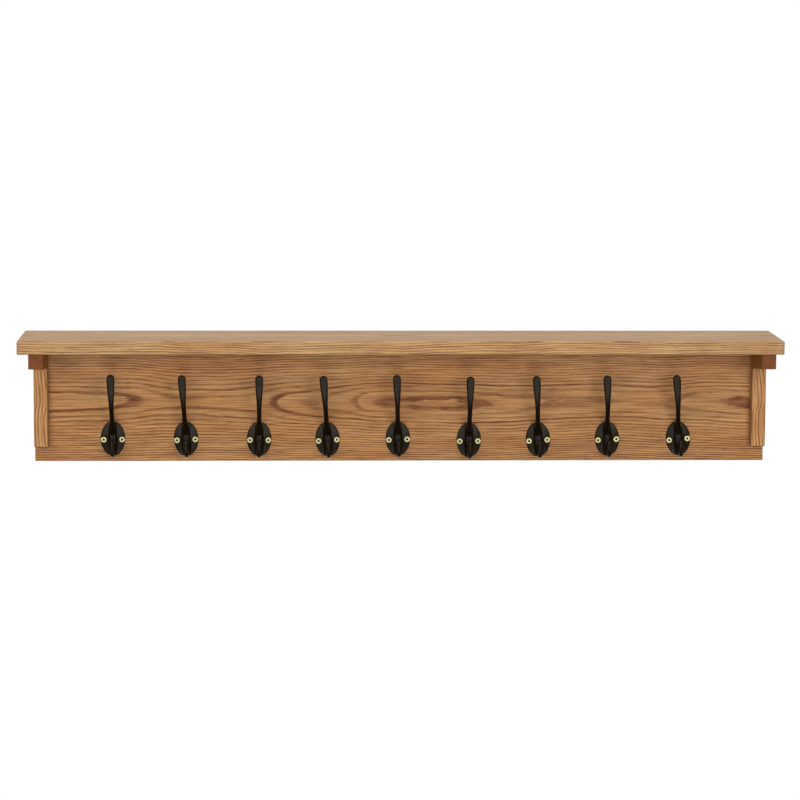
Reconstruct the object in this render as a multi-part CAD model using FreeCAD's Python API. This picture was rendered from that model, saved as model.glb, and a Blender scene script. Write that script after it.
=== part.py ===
import FreeCAD, Part
import math
import os

from FreeCAD import Matrix, Placement, Rotation, Vector

# Wall rack in solid oak with nine cast-iron hat-and-coat hooks.
# Millimetres. X runs along the rack, Y points into the wall and Z is up.
# The origin is the centre of the back board's back face, so the wall is y = 0.

# Boards. The shelf sits a little to the left of the back board's middle.
BOARD_THICKNESS = 20.0
BACK_LENGTH = 1096.0
BACK_HEIGHT = 175.0
SHELF_LENGTH = 1120.0
SHELF_DEPTH = 150.0
SHELF_SLIP = -3.0
SHELF_EDGE_RADIUS = 2.0
BACK_EDGE_RADIUS = 1.0

# Brackets: an arm under the shelf, and an upright on the back board below it
BRACKET_WIDTH = 21.0
ARM_SETBACK = 18.5
ARM_FRONT_HEIGHT = 23.5
ARM_REAR_HEIGHT = 33.0
UPRIGHT_THICKNESS = 20.0
UPRIGHT_FOOT_GAP = 23.5
ARM_EDGE_RADIUS = 1.0
UPRIGHT_EDGE_RADIUS = 2.0

# Hook casting: plate
PLATE_HALF_WIDTH = 18.3
PLATE_HALF_HEIGHT = 26.0
PLATE_EDGE = 2.6
PLATE_CROWN = 6.2
PLATE_CROWN_HALF_WIDTH = 4.0
PLATE_EDGE_RADIUS = 0.9

# Hook casting: stations along the rib and along each prong from its root, as
# (forward of the board, up from the plate's centre, width, thickness)
PLATE_RIB = (
    (1.0, -24.0, 6.0, 3.0),
    (3.0, -19.5, 10.2, 6.4),
    (4.2, -10.0, 11.6, 8.2),
    (4.6, 0.0, 12.0, 8.8),
    (4.2, 10.0, 11.4, 8.2),
    (3.0, 19.0, 9.6, 6.4),
    (1.0, 24.0, 6.0, 3.0),
)
UPPER_PRONG = (
    (2.0, 7.0, 9.6, 12.0),
    (9.5, 17.5, 9.4, 10.5),
    (18.5, 28.5, 7.6, 7.6),
    (27.0, 39.5, 6.9, 6.0),
    (34.5, 51.0, 7.2, 5.4),
    (40.0, 63.5, 8.5, 5.2),
    (43.5, 76.5, 10.4, 5.2),
    (45.0, 88.0, 11.8, 5.2),
    (45.4, 95.5, 12.0, 5.0),
)
LOWER_PRONG = (
    (1.5, -3.5, 9.8, 9.5),
    (7.5, -11.5, 9.0, 9.6),
    (13.0, -18.4, 7.6, 8.2),
    (19.5, -22.3, 6.4, 7.0),
    (26.5, -20.8, 6.2, 6.4),
    (31.5, -14.2, 6.6, 6.2),
    (33.8, -5.7, 7.0, 6.0),
    (34.6, -0.7, 7.2, 6.0),
)
CORNER_SHARE = 0.44
CORNER_LIMIT = 3.6

# Where the hooks go. They were set out by hand from the shelf's middle, so each
# is a little off its mark along the rack, up the board, and in its lean
# (degrees, to the right).
HOOK_PITCH = 106.0
HOOK_CENTRE_HEIGHT = 33.5
HOOK_SLIP = (-4.5, -1.1, 2.3, -0.9, -1.2, -0.4, -2.0, -3.7, -2.2)
HOOK_RISE = (1.0, 0.5, 0.0, -0.5, 0.5, -2.0, -1.0, 0.0, 0.5)
HOOK_LEAN = (-0.4, -2.8, 0.4, -4.1, -2.1, -0.5, -3.9, -3.1, -5.3)
HOOK_SCREW_OFFSET = 13.7
HOOK_SCREW_DROP = 1.5
HOOK_SCREW_SEAT = 3.7

# Countersunk screws: (shank radius, head radius, length). The point is a share
# of the shank's radius; the cross recess and the well in its middle are shares
# of the head's radius.
HOOK_SCREW = (2.0, 4.0, 20.0)
UPRIGHT_SCREW = (2.0, 4.0, 35.0)
ARM_END_SCREW = (2.5, 5.0, 60.0)
ARM_SHELF_SCREW = (2.0, 4.0, 35.0)
HANGER_SCREW = (1.5, 3.0, 12.0)
HEAD_RIM = 0.3
POINT_SHARE = 1.5
CROSS_LENGTH_SHARE = 1.15
CROSS_WIDTH_SHARE = 0.2
CROSS_DEPTH_SHARE = 0.35
WELL_TOP_SHARE = 0.42
WELL_FOOT_SHARE = 0.24
WELL_DEPTH_SHARE = 0.6
CROSS_TURN_STEP = 37.0
FIT_GAP = 0.03
HEAD_GAP = 0.15
HOLE_END_GAP = 0.5

UPRIGHT_SCREW_HEIGHTS = (30.0, -40.0)
ARM_END_SCREW_DROP = 14.0
ARM_SHELF_SCREW_REACH = (75.0, 115.0)
ARM_SHELF_SCREW_BITE = 15.0

# Dowels
SHELF_DOWEL_RADIUS = 4.0
SHELF_DOWEL_LENGTH = 35.0
SHELF_DOWEL_BITE = 15.0
SHELF_DOWEL_PITCH = 220.0
SHELF_DOWEL_COUNT = 5
BRACKET_DOWEL_RADIUS = 3.0
BRACKET_DOWEL_LENGTH = 28.0
BRACKET_DOWEL_BITE = 13.0
DOWEL_CHAMFER_SHARE = 0.25

# Keyhole hanger plates let into the back of the back board
HANGER_X = 400.0
HANGER_CENTRE_HEIGHT = 40.0
HANGER_LENGTH = 50.0
HANGER_WIDTH = 18.0
HANGER_THICKNESS = 2.0
HANGER_SCREW_SPACING = 39.0
KEYHOLE_ENTRY_DROP = 8.0
KEYHOLE_ENTRY_RADIUS = 5.0
KEYHOLE_SLOT_RADIUS = 2.5
KEYHOLE_SLOT_LENGTH = 13.0
POCKET_RADIUS = 6.5
POCKET_DEPTH = 12.0

# How far a cut runs past a face, and how far inside a face an edge has to be
# before it counts as off that face
OVERRUN = 1.0

# Worked out from the sizes above
UNDERSIDE = BACK_HEIGHT / 2
BRACKET_X = (BACK_LENGTH - BRACKET_WIDTH) / 2
ARM_FRONT = SHELF_DEPTH - ARM_SETBACK
UPRIGHT_FACE = BOARD_THICKNESS + UPRIGHT_THICKNESS
UPRIGHT_TOP = UNDERSIDE - ARM_REAR_HEIGHT
UPRIGHT_FOOT = -BACK_HEIGHT / 2 + UPRIGHT_FOOT_GAP
PLATE_CENTRE = -BACK_HEIGHT / 2 + HOOK_CENTRE_HEIGHT

FORWARD = Vector(0, -1, 0)
BACKWARD = Vector(0, 1, 0)
ACROSS = Vector(1, 0, 0)
UP = Vector(0, 0, 1)
DOWN = Vector(0, 0, -1)


# Simple solids


def box(x_range, y_range, z_range):
    corner = Vector(x_range[0], y_range[0], z_range[0])
    sizes = [high - low for low, high in (x_range, y_range, z_range)]
    return Part.makeBox(*sizes, corner)


def eased(shape, radius, wanted):
    """Round the straight edges whose middle satisfies wanted(x, y, z)."""
    edges = [edge for edge in shape.Edges if wanted(*edge.CenterOfMass)]
    return shape.makeFillet(radius, edges)


def stadium(centre, half_gap, radius, depth):
    """A slot-shaped prism going forward from centre, its two ends along Z."""
    top = Part.makeCylinder(radius, depth, centre + UP * half_gap, FORWARD)
    bottom = Part.makeCylinder(radius, depth, centre + DOWN * half_gap, FORWARD)
    middle = box(
        (centre.x - radius, centre.x + radius),
        (centre.y - depth, centre.y),
        (centre.z - half_gap, centre.z + half_gap),
    )
    return middle.fuse([top, bottom]).removeSplitter()


# Screws and dowels


def screw(size, head_top, direction, turn=0.0):
    """A countersunk cross-head screw from its head's top along direction."""
    shank, head, length = size
    cone = head - shank
    point = POINT_SHARE * shank
    profile = [
        Vector(0, 0, 0),
        Vector(head, 0, 0),
        Vector(head, 0, HEAD_RIM),
        Vector(shank, 0, HEAD_RIM + cone),
        Vector(shank, 0, length - point),
        Vector(0, 0, length),
        Vector(0, 0, 0),
    ]
    body = Part.Face(Part.makePolygon(profile)).revolve(Vector(), UP, 360)
    slot_length = head * CROSS_LENGTH_SHARE
    slot_width = head * CROSS_WIDTH_SHARE
    recess_depth = head * CROSS_DEPTH_SHARE
    for angle in (turn, turn + 90):
        slot = box(
            (-slot_length / 2, slot_length / 2),
            (-slot_width / 2, slot_width / 2),
            (-OVERRUN, recess_depth),
        )
        slot.rotate(Vector(), UP, angle)
        body = body.cut(slot)
    well = Part.makeCone(
        head * WELL_TOP_SHARE, head * WELL_FOOT_SHARE, head * WELL_DEPTH_SHARE
    )
    body = body.cut(well)
    body.Placement = Placement(head_top, Rotation(UP, direction))
    return body


def screw_hole(size, head_top, direction, clear_above=0.0):
    """The hole that a screw sits in, opened clear_above past its head."""
    shank, head, length = size
    shank += FIT_GAP
    head += HEAD_GAP
    cone = head - shank
    profile = [
        Vector(0, 0, -clear_above),
        Vector(head, 0, -clear_above),
        Vector(head, 0, HEAD_RIM),
        Vector(shank, 0, HEAD_RIM + cone),
        Vector(shank, 0, length + HOLE_END_GAP),
        Vector(0, 0, length + HOLE_END_GAP),
        Vector(0, 0, -clear_above),
    ]
    hole = Part.Face(Part.makePolygon(profile)).revolve(Vector(), UP, 360)
    hole.Placement = Placement(head_top, Rotation(UP, direction))
    return hole


def dowel(radius, length, foot):
    body = Part.makeCylinder(radius, length, foot, UP)
    rims = [edge for edge in body.Edges if edge.Closed]
    return body.makeChamfer(radius * DOWEL_CHAMFER_SHARE, rims)


def dowel_hole(radius, length, foot):
    start = foot + DOWN * HOLE_END_GAP
    return Part.makeCylinder(radius + FIT_GAP, length + 2 * HOLE_END_GAP, start, UP)


# Where the fasteners go


def hook_marks():
    """Each hook's plate centre on the board's face, and its lean."""
    middle = (len(HOOK_SLIP) - 1) / 2
    marks = []
    for index, (slip, rise, lean) in enumerate(zip(HOOK_SLIP, HOOK_RISE, HOOK_LEAN)):
        x = SHELF_SLIP + (index - middle) * HOOK_PITCH + slip
        marks.append((Vector(x, -BOARD_THICKNESS, PLATE_CENTRE + rise), lean))
    return marks


def hook_screw_heads(centre, lean):
    turned = Rotation(BACKWARD, lean)
    heads = []
    for side in (-1, 1):
        offset = Vector(side * HOOK_SCREW_OFFSET, -HOOK_SCREW_SEAT, -HOOK_SCREW_DROP)
        heads.append(centre + turned.multVec(offset))
    return heads


def upright_screw_heads(side):
    return [Vector(side * BRACKET_X, 0, height) for height in UPRIGHT_SCREW_HEIGHTS]


def arm_end_screw_head(side):
    return Vector(side * BRACKET_X, 0, UNDERSIDE - ARM_END_SCREW_DROP)


def arm_shelf_screw_heads(side):
    head = UNDERSIDE + ARM_SHELF_SCREW_BITE - ARM_SHELF_SCREW[2]
    return [Vector(side * BRACKET_X, -reach, head) for reach in ARM_SHELF_SCREW_REACH]


def hanger_centre(side):
    return Vector(side * HANGER_X, 0, HANGER_CENTRE_HEIGHT)


def hanger_screw_heads(side):
    half = HANGER_SCREW_SPACING / 2
    return [hanger_centre(side) + UP * step for step in (-half, half)]


def keyhole_middle(side):
    """Half way between the entry hole's centre and the slot's far end."""
    rise = KEYHOLE_SLOT_LENGTH / 2 - KEYHOLE_ENTRY_DROP
    return hanger_centre(side) + UP * rise


def shelf_dowel_feet():
    middle = (SHELF_DOWEL_COUNT - 1) / 2
    height = UNDERSIDE + SHELF_DOWEL_BITE - SHELF_DOWEL_LENGTH
    feet = []
    for index in range(SHELF_DOWEL_COUNT):
        x = (index - middle) * SHELF_DOWEL_PITCH
        feet.append(Vector(x, -BOARD_THICKNESS / 2, height))
    return feet


def bracket_dowel_foot(side):
    height = UPRIGHT_TOP + BRACKET_DOWEL_BITE - BRACKET_DOWEL_LENGTH
    depth = BOARD_THICKNESS + UPRIGHT_THICKNESS / 2
    return Vector(side * BRACKET_X, -depth, height)


# Oak pieces


def back_board():
    half_length = BACK_LENGTH / 2
    half_height = BACK_HEIGHT / 2
    board = box(
        (-half_length, half_length),
        (-BOARD_THICKNESS, 0),
        (-half_height, half_height),
    )
    board = eased(board, BACK_EDGE_RADIUS, lambda x, y, z: z < half_height - OVERRUN)
    cuts = []
    for centre, lean in hook_marks():
        for head in hook_screw_heads(centre, lean):
            cuts.append(screw_hole(HOOK_SCREW, head, BACKWARD))
    for foot in shelf_dowel_feet():
        cuts.append(dowel_hole(SHELF_DOWEL_RADIUS, SHELF_DOWEL_LENGTH, foot))
    for side in (-1, 1):
        for head in upright_screw_heads(side):
            cuts.append(screw_hole(UPRIGHT_SCREW, head, FORWARD, OVERRUN))
        head = arm_end_screw_head(side)
        cuts.append(screw_hole(ARM_END_SCREW, head, FORWARD, OVERRUN))
        for head in hanger_screw_heads(side):
            cuts.append(screw_hole(HANGER_SCREW, head, FORWARD))
        half_gap = (HANGER_LENGTH - HANGER_WIDTH) / 2
        cuts.append(stadium(hanger_centre(side), half_gap, HANGER_WIDTH / 2, HANGER_THICKNESS))
        half_gap = KEYHOLE_SLOT_LENGTH / 2
        cuts.append(stadium(keyhole_middle(side), half_gap, POCKET_RADIUS, POCKET_DEPTH))
    return board.cut(cuts)


def shelf():
    half_length = SHELF_LENGTH / 2
    board = box(
        (SHELF_SLIP - half_length, SHELF_SLIP + half_length),
        (-SHELF_DEPTH, 0),
        (UNDERSIDE, UNDERSIDE + BOARD_THICKNESS),
    )

    def off_the_back_foot(x, y, z):
        return y < -OVERRUN or z > UNDERSIDE + OVERRUN

    board = eased(board, SHELF_EDGE_RADIUS, off_the_back_foot)
    cuts = []
    for foot in shelf_dowel_feet():
        cuts.append(dowel_hole(SHELF_DOWEL_RADIUS, SHELF_DOWEL_LENGTH, foot))
    for side in (-1, 1):
        for head in arm_shelf_screw_heads(side):
            cuts.append(screw_hole(ARM_SHELF_SCREW, head, UP))
    return board.cut(cuts)


def bracket_arm(side):
    half_width = BRACKET_WIDTH / 2
    outline = [
        Vector(0, -BOARD_THICKNESS, UNDERSIDE),
        Vector(0, -ARM_FRONT, UNDERSIDE),
        Vector(0, -ARM_FRONT, UNDERSIDE - ARM_FRONT_HEIGHT),
        Vector(0, -UPRIGHT_FACE, UPRIGHT_TOP),
        Vector(0, -BOARD_THICKNESS, UPRIGHT_TOP),
        Vector(0, -BOARD_THICKNESS, UNDERSIDE),
    ]
    arm = Part.Face(Part.makePolygon(outline)).extrude(ACROSS * BRACKET_WIDTH)
    arm.translate(ACROSS * (side * BRACKET_X - half_width))

    def below_and_ahead(x, y, z):
        return y < -UPRIGHT_FACE - OVERRUN and z < UNDERSIDE - OVERRUN

    arm = eased(arm, ARM_EDGE_RADIUS, below_and_ahead)
    foot = bracket_dowel_foot(side)
    cuts = [
        screw_hole(ARM_END_SCREW, arm_end_screw_head(side), FORWARD),
        dowel_hole(BRACKET_DOWEL_RADIUS, BRACKET_DOWEL_LENGTH, foot),
    ]
    for head in arm_shelf_screw_heads(side):
        cuts.append(screw_hole(ARM_SHELF_SCREW, head, UP, ARM_REAR_HEIGHT))
    return arm.cut(cuts)


def bracket_upright(side):
    half_width = BRACKET_WIDTH / 2
    middle = side * BRACKET_X
    strip = box(
        (middle - half_width, middle + half_width),
        (-UPRIGHT_FACE, -BOARD_THICKNESS),
        (UPRIGHT_FOOT, UPRIGHT_TOP),
    )

    def front_or_foot(x, y, z):
        return z < UPRIGHT_TOP - OVERRUN and y < -BOARD_THICKNESS - OVERRUN

    strip = eased(strip, UPRIGHT_EDGE_RADIUS, front_or_foot)
    foot = bracket_dowel_foot(side)
    cuts = [dowel_hole(BRACKET_DOWEL_RADIUS, BRACKET_DOWEL_LENGTH, foot)]
    for head in upright_screw_heads(side):
        cuts.append(screw_hole(UPRIGHT_SCREW, head, FORWARD))
    return strip.cut(cuts)


# Hook casting, made upright with its plate's centre at the origin


def bar_outline(centre, normal, width, thickness, half=False):
    """A rounded rectangle across a bar, or only its right half."""
    radius = min(CORNER_SHARE * min(width, thickness), CORNER_LIMIT)
    side = width / 2
    face = thickness / 2
    sagitta = radius * (1 - math.sqrt(0.5))

    def point(across, along_normal):
        return centre + ACROSS * across + normal * along_normal

    def corner(turn_x, turn_n, from_side):
        along_side = point(turn_x * side, turn_n * (face - radius))
        middle = point(turn_x * (side - sagitta), turn_n * (face - sagitta))
        along_face = point(turn_x * (side - radius), turn_n * face)
        ends = (along_side, along_face) if from_side else (along_face, along_side)
        return Part.Arc(ends[0], middle, ends[1]).toShape()

    left = 0.0 if half else radius - side
    edges = [
        Part.makeLine(point(left, -face), point(side - radius, -face)),
        corner(1, -1, False),
        Part.makeLine(point(side, radius - face), point(side, face - radius)),
        corner(1, 1, True),
        Part.makeLine(point(side - radius, face), point(left, face)),
    ]
    if half:
        edges.append(Part.makeLine(point(0, face), point(0, -face)))
    else:
        edges += [
            corner(-1, 1, False),
            Part.makeLine(point(-side, face - radius), point(-side, radius - face)),
            corner(-1, -1, True),
        ]
    return Part.Wire(edges)


def bar(stations, rounded_tip):
    """Loft a curved bar through its stations, and round its last end off."""
    points = [Vector(0, -reach, rise) for reach, rise, _, _ in stations]
    path = Part.BSplineCurve()
    path.interpolate(points)
    outlines = []
    for point, (_, _, width, thickness) in zip(points, stations):
        tangent = path.tangent(path.parameter(point))[0]
        normal = ACROSS.cross(tangent).normalize()
        outlines.append(bar_outline(point, normal, width, thickness))
    pieces = [Part.makeLoft(outlines, True)]
    if rounded_tip:
        half = Part.Face(bar_outline(point, normal, width, thickness, half=True))
        pieces.append(half.revolve(point, normal, 180))
    return pieces


def hook_plate():
    """A round crowned plate, stretched upright into an oval."""
    slope = math.atan2(
        PLATE_CROWN - PLATE_EDGE,
        PLATE_HALF_WIDTH - PLATE_CROWN_HALF_WIDTH,
    )
    rim_x = PLATE_HALF_WIDTH - PLATE_EDGE_RADIUS
    rim_y = PLATE_EDGE - PLATE_EDGE_RADIUS

    def rim_point(angle):
        x = rim_x + PLATE_EDGE_RADIUS * math.cos(angle)
        y = rim_y + PLATE_EDGE_RADIUS * math.sin(angle)
        return Vector(x, -y, 0)

    rim_turn = math.pi / 2 - slope
    flank_foot = rim_point(rim_turn)
    run = flank_foot.x - PLATE_CROWN_HALF_WIDTH
    flank_top = Vector(PLATE_CROWN_HALF_WIDTH, flank_foot.y - run * math.tan(slope), 0)
    crown_rise = PLATE_CROWN_HALF_WIDTH * math.tan(slope) / 2
    crown = Vector(0, flank_top.y - crown_rise, 0)
    quarter_drop = crown_rise / 4
    crown_middle = Vector(PLATE_CROWN_HALF_WIDTH / 2, crown.y + quarter_drop, 0)
    edges = [
        Part.makeLine(Vector(), Vector(PLATE_HALF_WIDTH, 0, 0)),
        Part.makeLine(Vector(PLATE_HALF_WIDTH, 0, 0), rim_point(0)),
        Part.Arc(rim_point(0), rim_point(rim_turn / 2), flank_foot).toShape(),
        Part.makeLine(flank_foot, flank_top),
        Part.Arc(flank_top, crown_middle, crown).toShape(),
        Part.makeLine(crown, Vector()),
    ]
    disc = Part.Face(Part.Wire(edges)).revolve(Vector(), BACKWARD, 360)
    stretch = Matrix()
    stretch.scale(1, 1, PLATE_HALF_HEIGHT / PLATE_HALF_WIDTH)
    return disc.transformGeometry(stretch)


def hook_casting():
    bars = bar(PLATE_RIB, False) + bar(UPPER_PRONG, True) + bar(LOWER_PRONG, True)
    reach = 2 * PLATE_HALF_HEIGHT
    behind = box((-reach, reach), (0, reach), (-reach, reach))
    casting = hook_plate().fuse(bars).cut(behind).removeSplitter()
    holes = []
    for head in hook_screw_heads(Vector(), 0):
        holes.append(screw_hole(HOOK_SCREW, head, BACKWARD, PLATE_CROWN))
    return casting.cut(holes)


# Hanger plates


def hanger_plate(side):
    centre = hanger_centre(side)
    half_gap = (HANGER_LENGTH - HANGER_WIDTH) / 2
    plate = stadium(centre, half_gap, HANGER_WIDTH / 2, HANGER_THICKNESS)
    entry = centre + DOWN * KEYHOLE_ENTRY_DROP
    cuts = [
        Part.makeCylinder(KEYHOLE_ENTRY_RADIUS, HANGER_THICKNESS, entry, FORWARD),
        stadium(
            keyhole_middle(side),
            KEYHOLE_SLOT_LENGTH / 2,
            KEYHOLE_SLOT_RADIUS,
            HANGER_THICKNESS,
        ),
    ]
    for head in hanger_screw_heads(side):
        cuts.append(screw_hole(HANGER_SCREW, head, FORWARD, OVERRUN))
    return plate.cut(cuts)


# Assembly


def build_nodes():
    nodes = {"back_board": back_board(), "shelf": shelf()}
    feet = shelf_dowel_feet()
    dowels = [dowel(SHELF_DOWEL_RADIUS, SHELF_DOWEL_LENGTH, foot) for foot in feet]
    nodes["shelf_dowels"] = Part.makeCompound(dowels)

    for name, side in (("left", -1), ("right", 1)):
        nodes["bracket_arm_" + name] = bracket_arm(side)
        nodes["bracket_upright_" + name] = bracket_upright(side)
        nodes["bracket_dowel_" + name] = dowel(
            BRACKET_DOWEL_RADIUS, BRACKET_DOWEL_LENGTH, bracket_dowel_foot(side)
        )
        nodes["arm_end_screw_" + name] = screw(
            ARM_END_SCREW, arm_end_screw_head(side), FORWARD
        )
        groups = (
            ("upright_screws_", UPRIGHT_SCREW, upright_screw_heads(side), FORWARD),
            ("arm_shelf_screws_", ARM_SHELF_SCREW, arm_shelf_screw_heads(side), UP),
            ("hanger_screws_", HANGER_SCREW, hanger_screw_heads(side), FORWARD),
        )
        for prefix, size, heads, direction in groups:
            screws = [screw(size, head, direction) for head in heads]
            nodes[prefix + name] = Part.makeCompound(screws)
        nodes["hanger_plate_" + name] = hanger_plate(side)

    casting = hook_casting()
    for number, (centre, lean) in enumerate(hook_marks(), start=1):
        hook = casting.copy()
        hook.Placement = Placement(centre, Rotation(BACKWARD, lean))
        nodes["coat_hook_%d" % number] = hook
        screws = []
        for count, head in enumerate(hook_screw_heads(centre, lean)):
            turn = CROSS_TURN_STEP * (2 * number + count)
            screws.append(screw(HOOK_SCREW, head, BACKWARD, turn))
        nodes["hook_screws_%d" % number] = Part.makeCompound(screws)
    return nodes


def export_nodes():
    os.makedirs("parts", exist_ok=True)
    for name, shape in build_nodes().items():
        shape.exportStep("parts/%s.step" % name)
        print(name, shape.isValid(), len(shape.Solids), round(shape.Volume))


export_nodes()
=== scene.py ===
"""Looks for the oak wall hook rack: oak grain, cast iron, brass and steel, studio light and camera."""

import math

import bpy
from mathutils import Matrix, Vector


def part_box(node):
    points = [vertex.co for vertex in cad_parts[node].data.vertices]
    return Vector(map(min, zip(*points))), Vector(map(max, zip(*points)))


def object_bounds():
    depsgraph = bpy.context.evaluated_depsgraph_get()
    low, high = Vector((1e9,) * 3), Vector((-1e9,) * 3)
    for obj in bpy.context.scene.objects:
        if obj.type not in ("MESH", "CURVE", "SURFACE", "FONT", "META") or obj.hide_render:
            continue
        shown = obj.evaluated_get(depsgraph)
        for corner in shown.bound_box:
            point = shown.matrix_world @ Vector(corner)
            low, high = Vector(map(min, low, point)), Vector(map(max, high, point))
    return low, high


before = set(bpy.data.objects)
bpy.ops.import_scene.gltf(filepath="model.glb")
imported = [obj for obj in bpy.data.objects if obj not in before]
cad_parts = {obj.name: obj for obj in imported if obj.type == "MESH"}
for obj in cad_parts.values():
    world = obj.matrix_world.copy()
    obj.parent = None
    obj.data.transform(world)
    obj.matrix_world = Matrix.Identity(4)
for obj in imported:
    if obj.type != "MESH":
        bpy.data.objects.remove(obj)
CAD_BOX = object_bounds()

MM = 0.001
HOOK_COUNT = 9
SIDES = ("left", "right")

# Camera: its place in metres, its turn to the right, tilt and roll in degrees, and its lens
CAMERA_PLACE = (-0.1793, -4.6177, 0.5984)
CAMERA_TURN = 2.218
CAMERA_TILT = -7.354
CAMERA_ROLL = 0.246
CAMERA_LENS = 138.98
CAMERA_CLIP = 100.0

# Softboxes: name, place, width and height in metres, and watts
SOFTBOXES = (
    ("right_softbox", (1.3, -3.5, 0.52), (1.3, 0.8), 39.5),
    ("left_softbox", (-1.4, -2.9, 0.48), (1.5, 0.8), 28.0),
)

# A round glow in front of the rack and below it. Its reach, the height of its middle and where
# the other lights start and end are parts of a direction one long.
GLOW_REACH = 0.24
GLOW_MIDDLE = -0.46
GLOW_FADE = (0.3, 1.6)
GLOW_LIMIT = (-0.2, 0.0)
GLOW_STRENGTH = 4.6
BACK_LIMIT = (0.2, 0.8)
BACK_STRENGTH = 0.5
ABOVE_LIMIT = (0.15, 0.8)
ABOVE_STRENGTH = (0.05, 1.0)

# Floor, in metres. It glows a little, so that it is as white as what lies behind it.
FLOOR_DROP = 1.6
FLOOR_SIZE = 3.0
FLOOR_GLOW = 0.4
WHITE = (1.0, 1.0, 1.0, 1.0)
OFF_WHITE = (0.9, 0.9, 0.9, 1.0)

# Casting surface, in metres
CAST_VOXEL = 0.0005
CAST_BLEND_STEPS = 12

# How deep below a hook screw's head the grime and painted shade of its recess start and are full, in
# metres
GRIME_AND_SHADE_DEPTH = (0.1 * MM, 0.5 * MM)

# Sizes of surface noise, as repeats in a metre, and its relief in metres
CAST_PEEL = (900.0, 900.0, 900.0)
CAST_PATCH = (120.0, 120.0, 120.0)
CAST_RELIEF = 0.0003
METAL_GRIME = (1500.0, 1500.0, 1500.0)
METAL_RELIEF = 0.00002
DOWEL_FLECK = (900.0, 900.0, 60.0)
DOWEL_RELIEF = 0.0001

# Where most of a noise's values lie, and how rough the surfaces are
NOISE_MIDDLE = (0.3, 0.7)
CAST_ROUGHNESS = (0.26, 0.4)
SCREW_ROUGHNESS = 0.3
PLATE_ROUGHNESS = 0.35
GRIME_ROUGHNESS = 0.15
DOWEL_ROUGHNESS = 0.6
FLOOR_ROUGHNESS = 0.6

# Oak noise, drawn out along the grain: its run and width in millimetres, and an offset that
# keeps it apart from the others
HEART_WANDER = (260, 400, 7)
RING_WAVE = (170, 40, 3)
RING_RIPPLE = (24, 7, 5)
RING_PATCHES = (45, 7, 21)
PORES = (9, 0.55, 0)
DASHES = (14, 1.5, 31)
STREAKS = (60, 1.3, 11)
CLOUDS = (150, 30, 13)

# How far from its middle that noise has to be to count in full
PATCH_LIMIT = 0.16
PORE_LIMIT = 0.2
DASH_LIMIT = 0.16
STREAK_LIMIT = 0.12
CLOUD_LIMIT = 0.16

# How far it moves the heart and the rings, in millimetres
WANDER_SWING = 20.0
WAVE_SWING = 4.0
RIPPLE_SWING = 0.8

# How strong the palest rings are, and the rings cut near their tangent, which spread out wide
PALEST_RING = 0.55
TANGENT_RING = 0.85
TANGENT_SHARE = 0.3

# How many of the pores and dashes lie outside the rings, and how dark a ring has them all
SPARE_PORES = 0.3
SPARE_DASHES = 0.25
PORE_RING = 0.7
DASH_RING = 0.6

# How much of the dark tones the streaks, dashes and pores take
STREAK_TONE = 0.46
DASH_TONE = 0.45
PORE_TONE = 0.5

# Oak tones, as shares of the pale or dark tone's red, green and blue
WARM_SHARE = (0.95, 0.86, 0.76)
PORE_SHARE = (0.55, 0.45, 0.4)
END_SHARE = (0.58, 0.42, 0.17)

# How much of a surface's direction lies along the grain where a sawn end starts and is full
SAWN_END = (0.6, 0.9)

# Oak surface: its roughness between the pores and how much they add, and its relief in metres
OAK_ROUGHNESS = 0.42
PORE_ROUGHNESS = 0.2
BAND_RELIEF = 0.3
OAK_RELIEF = 0.00012
OAK_SHINE = 0.22
SHELF_SHINE = 0.35

# How dark a ring is through the year, from 0 to 1
EARLY_WOOD = ((0.0, 0.0), (0.08, 0.98), (0.26, 0.95), (0.42, 0.25), (0.7, 0.02), (1.0, 0.0))

# How far the log's heart swells towards the face along the piece, and that swell in millimetres
BOARD_HEART = (
    (0.0, 0.62), (0.12, 0.7), (0.2, 0.88), (0.25, 0.88), (0.35, 0.62), (0.43, 0.42), (0.48, 0.27),
    (0.56, 0.25), (0.65, 0.33), (0.74, 0.42), (0.84, 0.44), (0.92, 0.34), (1.0, 0.28),
)
PLAIN_HEART = ((0.0, 0.5), (0.35, 0.8), (0.6, 0.35), (1.0, 0.6))
BOARD_SWELL = 18.0
PLAIN_SWELL = 8.0


# Shader nodes


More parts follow.
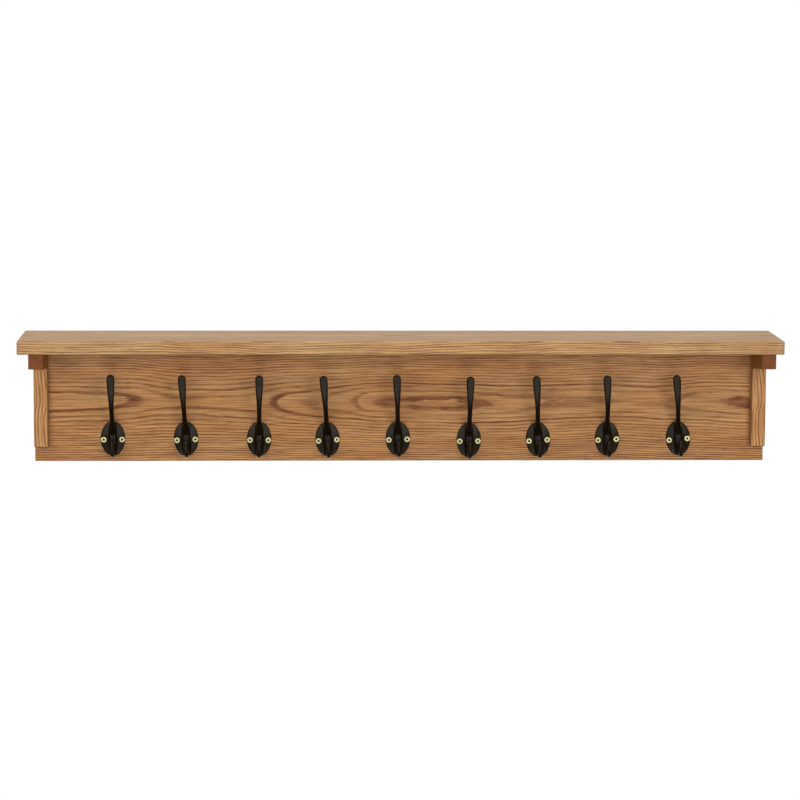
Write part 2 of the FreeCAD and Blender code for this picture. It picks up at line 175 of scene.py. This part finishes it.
class Graph:
    """A short way to write a node tree. Most methods add a node and give its output."""

    def __init__(self, tree):
        self.tree = tree
        tree.nodes.clear()

    def node(self, kind, **settings):
        made = self.tree.nodes.new("ShaderNode" + kind)
        for name, value in settings.items():
            setattr(made, name, value)
        return made

    def put(self, socket, value):
        """Link a socket to another node's output, or set it to a plain value."""
        if isinstance(value, bpy.types.NodeSocket):
            self.tree.links.new(value, socket)
        else:
            socket.default_value = value

    def put_all(self, sockets, values):
        for socket, value in zip(sockets, values):
            self.put(socket, value)

    def math(self, operation, *values):
        made = self.node("Math", operation=operation)
        self.put_all(made.inputs, values)
        return made.outputs[0]

    def add(self, total, *others):
        for other in others:
            total = self.math("ADD", total, other)
        return total

    def times(self, product, *others):
        for other in others:
            product = self.math("MULTIPLY", product, other)
        return product

    def minus(self, first, second):
        return self.math("SUBTRACT", first, second)

    def over(self, first, second):
        return self.math("DIVIDE", first, second)

    def coordinates(self, kind):
        return self.node("TexCoord").outputs[kind]

    def scaled_place(self, scale):
        """The object's own coordinates, with a scale for each axis."""
        made = self.node("Mapping")
        self.put(made.inputs["Vector"], self.coordinates("Object"))
        made.inputs["Scale"].default_value = scale
        return made.outputs[0]

    def split(self, vector):
        made = self.node("SeparateXYZ")
        self.put(made.inputs[0], vector)
        return made.outputs

    def join(self, x, y, z):
        made = self.node("CombineXYZ")
        self.put_all(made.inputs, (x, y, z))
        return made.outputs[0]

    def noise(self, place, detail=2.0, roughness=0.5):
        made = self.node("TexNoise")
        self.put(made.inputs["Vector"], place)
        self.put(made.inputs["Scale"], 1.0)
        self.put(made.inputs["Detail"], detail)
        self.put(made.inputs["Roughness"], roughness)
        return made.outputs["Fac"]

    def range(self, value, low, high, to_low=0.0, to_high=1.0):
        """Go smoothly from to_low to to_high as the value goes from low to high."""
        made = self.node("MapRange", interpolation_type="SMOOTHSTEP")
        self.put_all(made.inputs, (value, low, high, to_low, to_high))
        return made.outputs[0]

    def curve(self, value, points):
        """Read a smooth curve through some points."""
        made = self.node("FloatCurve")
        self.put(made.inputs["Value"], value)
        line = made.mapping.curves[0]
        while len(line.points) < len(points):
            line.points.new(0.5, 0.5)
        for spot, place in zip(line.points, points):
            spot.location = place
            spot.handle_type = "AUTO"
        made.mapping.update()
        return made.outputs[0]

    def mix(self, share, first, second, blend="MIX"):
        made = self.node("Mix", data_type="RGBA", blend_type=blend)
        self.put(made.inputs[0], share)
        self.put(made.inputs[6], first)
        self.put(made.inputs[7], second)
        return made.outputs[2]

    def background(self, strength):
        made = self.node("Background")
        self.put(made.inputs["Color"], WHITE)
        self.put(made.inputs["Strength"], strength)
        return made.outputs[0]

    def finish_surface(self, colour, roughness, height, depth, **fixed):
        """End in a Principled surface whose bump is depth metres deep."""
        shader = self.node("BsdfPrincipled")
        self.put(shader.inputs["Base Color"], colour)
        self.put(shader.inputs["Roughness"], roughness)
        for name, value in fixed.items():
            shader.inputs[name.replace("_", " ")].default_value = value
        bump = self.node("Bump")
        bump.inputs["Strength"].default_value = 1.0
        bump.inputs["Distance"].default_value = depth
        self.put(bump.inputs["Height"], height)
        self.put(shader.inputs["Normal"], bump.outputs[0])
        output = self.node("OutputMaterial")
        self.put(output.inputs["Surface"], shader.outputs[0])


def new_material(name):
    made = bpy.data.materials.new(name)
    made.use_nodes = True
    return made


def srgb(red, green, blue):
    """A colour given as 0 to 255, as the linear colour that a shader takes."""
    linear = []
    for value in (red, green, blue):
        share = value / 255
        linear.append(share / 12.92 if share <= 0.04045 else ((share + 0.055) / 1.055) ** 2.4)
    return (*linear, 1.0)


def shaded(tone, shares):
    """A tone with a share of each of its channels."""
    return (*[channel * share for channel, share in zip(tone, shares)], 1.0)


# Oak


class OakGraph(Graph):
    """A node tree that knows a piece's grain: millimetres along, across and through it."""

    def __init__(self, tree, axes, box, seed):
        super().__init__(tree)
        middle = (box[0] + box[1]) / 2
        split = self.split(self.coordinates("Object"))
        self.along, self.across, self.through = [
            self.over(self.minus(split[axis], middle["XYZ".index(axis)]), MM) for axis in axes
        ]
        self.length = (box[1] - box[0])["XYZ".index(axes[0])] / MM
        self.seed = seed

    def grain_noise(self, shape, swing=1.0, detail=2.0, roughness=0.5):
        """Noise drawn out along the grain, from -swing/2 to swing/2."""
        run, width, offset = shape
        place = self.join(
            self.add(self.over(self.along, run), self.seed + offset),
            self.over(self.across, width),
            self.over(self.through, width),
        )
        centred = self.minus(self.noise(place, detail, roughness), 0.5)
        return self.times(centred, swing)

    def rings(self, heart, ring, heart_line, heart_swell):
        """How dark the log's rings are, from 0 to 1, about its wandering heart."""
        share = self.add(self.over(self.along, self.length), 0.5)
        swell = self.times(self.minus(self.curve(share, heart_line), 0.5), heart_swell)
        wander = self.grain_noise(HEART_WANDER, WANDER_SWING)
        side = self.minus(self.minus(self.across, heart[0]), wander)
        depth = self.minus(self.add(self.through, swell), heart[1])
        side_square = self.math("POWER", side, 2.0)
        squares = self.add(side_square, self.math("POWER", depth, 2.0))
        wave = self.grain_noise(RING_WAVE, WAVE_SWING)
        ripple = self.grain_noise(RING_RIPPLE, RIPPLE_SWING)
        years = self.over(self.add(self.math("SQRT", squares), wave, ripple), ring)

        early = self.curve(self.math("FRACT", years), EARLY_WOOD)
        year_noise = self.node("TexWhiteNoise", noise_dimensions="1D")
        self.put(year_noise.inputs["W"], self.add(self.math("FLOOR", years), self.seed))
        strength = self.range(year_noise.outputs["Value"], 0.0, 1.0, PALEST_RING, 1.0)
        patchy = self.grain_noise(RING_PATCHES)
        patches = self.range(patchy, -PATCH_LIMIT, PATCH_LIMIT, PALEST_RING, 1.0)
        slant = self.over(side_square, squares)
        spread = self.range(slant, 0.0, TANGENT_SHARE, TANGENT_RING, 1.0)
        return self.times(early, strength, patches, spread)


def oak(name, axes, box, seed, log, tones, shine=OAK_SHINE, line=PLAIN_HEART, swell=PLAIN_SWELL):
    """Oak sawn from a log. axes gives the row axes along the grain, across the face and through
    the thickness. log is where the log's heart lies from the piece's middle, across and through,
    and a year's growth, in millimetres. tones are its pale and its dark wood."""
    made = new_material(name)
    graph = OakGraph(made.node_tree, axes, box, seed)
    heart, ring = log
    pale, dark = tones
    band = graph.rings(heart, ring, line, swell)

    # Pores run along the grain, most of them in the early wood of each year
    pore_noise = graph.grain_noise(PORES, detail=3.0, roughness=0.6)
    pore_share = graph.range(band, 0.0, PORE_RING, SPARE_PORES, 1.0)
    pores = graph.times(graph.range(pore_noise, 0.0, PORE_LIMIT), pore_share)
    dash_noise = graph.grain_noise(DASHES, detail=3.0)
    dash_share = graph.range(band, 0.0, DASH_RING, SPARE_DASHES, 1.0)
    dashes = graph.times(graph.range(dash_noise, 0.0, DASH_LIMIT), dash_share)
    streak_noise = graph.grain_noise(STREAKS, detail=3.0, roughness=0.6)
    streaks = graph.range(streak_noise, -STREAK_LIMIT, STREAK_LIMIT)
    clouds = graph.range(graph.grain_noise(CLOUDS), -CLOUD_LIMIT, CLOUD_LIMIT)

    pore_colour = shaded(dark, PORE_SHARE)
    colour = graph.mix(clouds, pale, shaded(pale, WARM_SHARE))
    colour = graph.mix(graph.times(streaks, STREAK_TONE), colour, dark)
    colour = graph.mix(band, colour, dark)
    colour = graph.mix(graph.times(dashes, DASH_TONE), colour, pore_colour)
    colour = graph.mix(graph.times(pores, PORE_TONE), colour, pore_colour)

    # Sawn ends drink more oil, so they are darker and redder
    facing = graph.split(graph.coordinates("Normal"))[axes[0]]
    end = graph.range(graph.math("ABSOLUTE", facing), *SAWN_END)
    colour = graph.mix(end, colour, graph.mix(1.0, colour, (*END_SHARE, 1.0), "MULTIPLY"))

    roughness = graph.add(graph.times(pores, PORE_ROUGHNESS), OAK_ROUGHNESS)
    height = graph.minus(1.0, graph.add(pores, graph.times(band, BAND_RELIEF)))
    graph.finish_surface(colour, roughness, height, OAK_RELIEF, Specular_IOR_Level=shine)
    return made


def beech():
    """Pale beech for the dowels, flecked along them."""
    made = new_material("beech_dowel")
    graph = Graph(made.node_tree)
    fleck = graph.noise(graph.scaled_place(DOWEL_FLECK), detail=3.0)
    colour = graph.mix(fleck, srgb(214, 182, 142), srgb(190, 152, 110))
    graph.finish_surface(colour, DOWEL_ROUGHNESS, fleck, DOWEL_RELIEF)
    return made


# Metals


def cast_iron():
    """Black-brown cast iron with the fine orange peel of a sand casting."""
    made = new_material("cast_iron")
    graph = Graph(made.node_tree)
    peel = graph.noise(graph.scaled_place(CAST_PEEL), detail=2.0, roughness=0.55)
    patch = graph.range(graph.noise(graph.scaled_place(CAST_PATCH), detail=3.0), 0.35, 0.7)
    colour = graph.mix(patch, srgb(14, 8, 3), srgb(26, 17, 8))
    roughness = graph.range(peel, *NOISE_MIDDLE, *CAST_ROUGHNESS)
    shine = {"Specular_IOR_Level": 0.22, "Specular_Tint": (1.0, 0.92, 0.76, 1.0)}
    graph.finish_surface(colour, roughness, peel, CAST_RELIEF, **shine)
    return made


def turned_metal(name, bright, dull, base_roughness, recess_top=None):
    """A turned metal. With recess_top, the Y of the heads' tops, what lies deeper is painted dark:
    some grime and painted shade of the recess.
    """
    made = new_material(name)
    graph = Graph(made.node_tree)
    grime = graph.noise(graph.scaled_place(METAL_GRIME), detail=3.0)
    colour = graph.mix(graph.range(grime, 0.45, 0.75), bright, dull)
    most_rough = base_roughness + GRIME_ROUGHNESS
    roughness = graph.range(grime, *NOISE_MIDDLE, base_roughness, most_rough)
    if recess_top is not None:
        # Painted shade, with some grime: the recess below the heads' tops is coloured dark, standing
        # in for its shadow
        start, full = [recess_top + depth for depth in GRIME_AND_SHADE_DEPTH]
        recess_grime_and_shade = graph.range(graph.split(graph.coordinates("Object"))["Y"], start, full)
        colour = graph.mix(recess_grime_and_shade, colour, srgb(34, 26, 18))
        roughness = graph.math("MAXIMUM", roughness, recess_grime_and_shade)
    graph.finish_surface(colour, roughness, grime, METAL_RELIEF, Metallic=1.0)
    return made


# Dressing the CAD nodes


def dress(name, material):
    """Give a CAD node its one material."""
    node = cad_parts[name]
    node.data.materials.clear()
    node.data.materials.append(material)
    return node


def dress_oak(name, axes, *recipe):
    dress(name, oak("oak_" + name, axes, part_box(name), *recipe))


def dress_wood():
    board_tones = (srgb(208, 157, 98), srgb(108, 46, 12))
    board_log = ((1, -62), 2.8)
    dress_oak("back_board", "XZY", 3.1, board_log, board_tones, OAK_SHINE, BOARD_HEART, BOARD_SWELL)

    shelf_tones = (srgb(210, 168, 110), srgb(120, 64, 20))
    dress_oak("shelf", "XYZ", 8.7, ((5, -60), 2.2), shelf_tones, SHELF_SHINE)

    dowel_wood = beech()
    dress("shelf_dowels", dowel_wood)
    arm_tones = (srgb(196, 132, 62), srgb(90, 42, 12))
    upright_tones = (srgb(216, 164, 104), srgb(114, 56, 16))
    for number, side in enumerate(SIDES):
        dress_oak("bracket_arm_" + side, "YXZ", 17.3 + number, ((30, 40), 2.2), arm_tones)
        dress_oak("bracket_upright_" + side, "ZXY", 23.9 + number, ((30, 34), 2.6), upright_tones)
        dress("bracket_dowel_" + side, dowel_wood)


def smooth_casting(node):
    """Melt the casting's sharp inner corners, as metal poured in sand has them."""
    remesh = node.modifiers.new("cast_skin", "REMESH")
    remesh.mode = "VOXEL"
    remesh.voxel_size = CAST_VOXEL
    remesh.use_smooth_shade = True
    blend = node.modifiers.new("cast_blend", "SMOOTH")
    blend.factor = 0.5
    blend.iterations = CAST_BLEND_STEPS


def dress_metal():
    iron = cast_iron()
    brass_tones = (srgb(206, 196, 150), srgb(160, 140, 92))
    steel_tones = (srgb(206, 208, 210), srgb(168, 170, 172))
    plate_tones = (srgb(196, 198, 200), srgb(160, 162, 166))
    head_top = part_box("hook_screws_1")[0].y
    brass = turned_metal("brass_screw", *brass_tones, SCREW_ROUGHNESS, head_top)
    steel = turned_metal("steel_screw", *steel_tones, SCREW_ROUGHNESS)
    plate = turned_metal("steel_plate", *plate_tones, PLATE_ROUGHNESS)
    for number in range(1, HOOK_COUNT + 1):
        smooth_casting(dress("coat_hook_%d" % number, iron))
        dress("hook_screws_%d" % number, brass)
    for side in SIDES:
        dress("hanger_plate_" + side, plate)
        for prefix in ("upright_screws_", "arm_end_screw_", "arm_shelf_screws_", "hanger_screws_"):
            dress(prefix + side, steel)


# Studio


def add_camera():
    camera = bpy.data.objects.new("camera", bpy.data.cameras.new("camera"))
    camera.data.lens = CAMERA_LENS
    camera.data.clip_end = CAMERA_CLIP
    camera.location = CAMERA_PLACE
    turn = Matrix.Rotation(math.radians(-CAMERA_TURN), 4, "Z")
    tilt = Matrix.Rotation(math.radians(90 + CAMERA_TILT), 4, "X")
    roll = Matrix.Rotation(math.radians(CAMERA_ROLL), 4, "Z")
    camera.rotation_euler = (turn @ tilt @ roll).to_euler()
    bpy.context.scene.collection.objects.link(camera)
    bpy.context.scene.camera = camera


def add_softbox(name, place, size, watts):
    """A rectangular light that faces the origin."""
    lamp = bpy.data.lights.new(name, "AREA")
    lamp.shape = "RECTANGLE"
    lamp.size = size[0]
    lamp.size_y = size[1]
    lamp.energy = watts
    light = bpy.data.objects.new(name, lamp)
    light.location = place
    light.rotation_euler = (-Vector(place)).to_track_quat("-Z", "Y").to_euler()
    bpy.context.scene.collection.objects.link(light)


def add_world():
    """White to look at. The light it gives is a glow ahead, some from above and a little behind."""
    world = bpy.data.worlds.new("studio")
    bpy.context.scene.world = world
    world.use_nodes = True
    graph = Graph(world.node_tree)
    split = graph.split(graph.coordinates("Generated"))
    sideways = graph.over(split["X"], GLOW_REACH)
    upwards = graph.over(graph.minus(split["Z"], GLOW_MIDDLE), GLOW_REACH)
    spread = graph.add(graph.math("POWER", sideways, 2.0), graph.math("POWER", upwards, 2.0))
    glow = graph.range(spread, *GLOW_FADE, 1.0, 0.0)
    ahead = graph.range(split["Y"], *GLOW_LIMIT, GLOW_STRENGTH, 0.0)
    back = graph.range(split["Y"], *BACK_LIMIT, 0.0, BACK_STRENGTH)
    above = graph.range(split["Z"], *ABOVE_LIMIT, *ABOVE_STRENGTH)
    given = graph.background(graph.add(graph.times(glow, ahead), back, above))
    seen = graph.background(1.0)
    chosen = graph.node("MixShader")
    camera_ray = graph.node("LightPath").outputs["Is Camera Ray"]
    graph.put_all(chosen.inputs, (camera_ray, given, seen))
    output = graph.node("OutputWorld")
    graph.put(output.inputs["Surface"], chosen.outputs[0])


def add_floor():
    """A plain pale floor far below the rack, which hangs on a wall."""
    half = FLOOR_SIZE / 2
    height = CAD_BOX[0].z - FLOOR_DROP
    corners = [(x * half, y * half, height) for x, y in ((-1, -1), (1, -1), (1, 1), (-1, 1))]
    mesh = bpy.data.meshes.new("floor")
    mesh.from_pydata(corners, [], [(0, 1, 2, 3)])
    floor = bpy.data.objects.new("floor", mesh)
    made = new_material("floor")
    glow = {"Emission_Color": WHITE, "Emission_Strength": FLOOR_GLOW}
    Graph(made.node_tree).finish_surface(OFF_WHITE, FLOOR_ROUGHNESS, 0.0, 0.0, **glow)
    mesh.materials.append(made)
    bpy.context.scene.collection.objects.link(floor)
    floor.visible_diffuse = False
    floor.visible_glossy = False


dress_wood()
dress_metal()
add_camera()
for softbox in SOFTBOXES:
    add_softbox(*softbox)
add_world()
add_floor()
bpy.context.scene.view_settings.view_transform = "Standard"
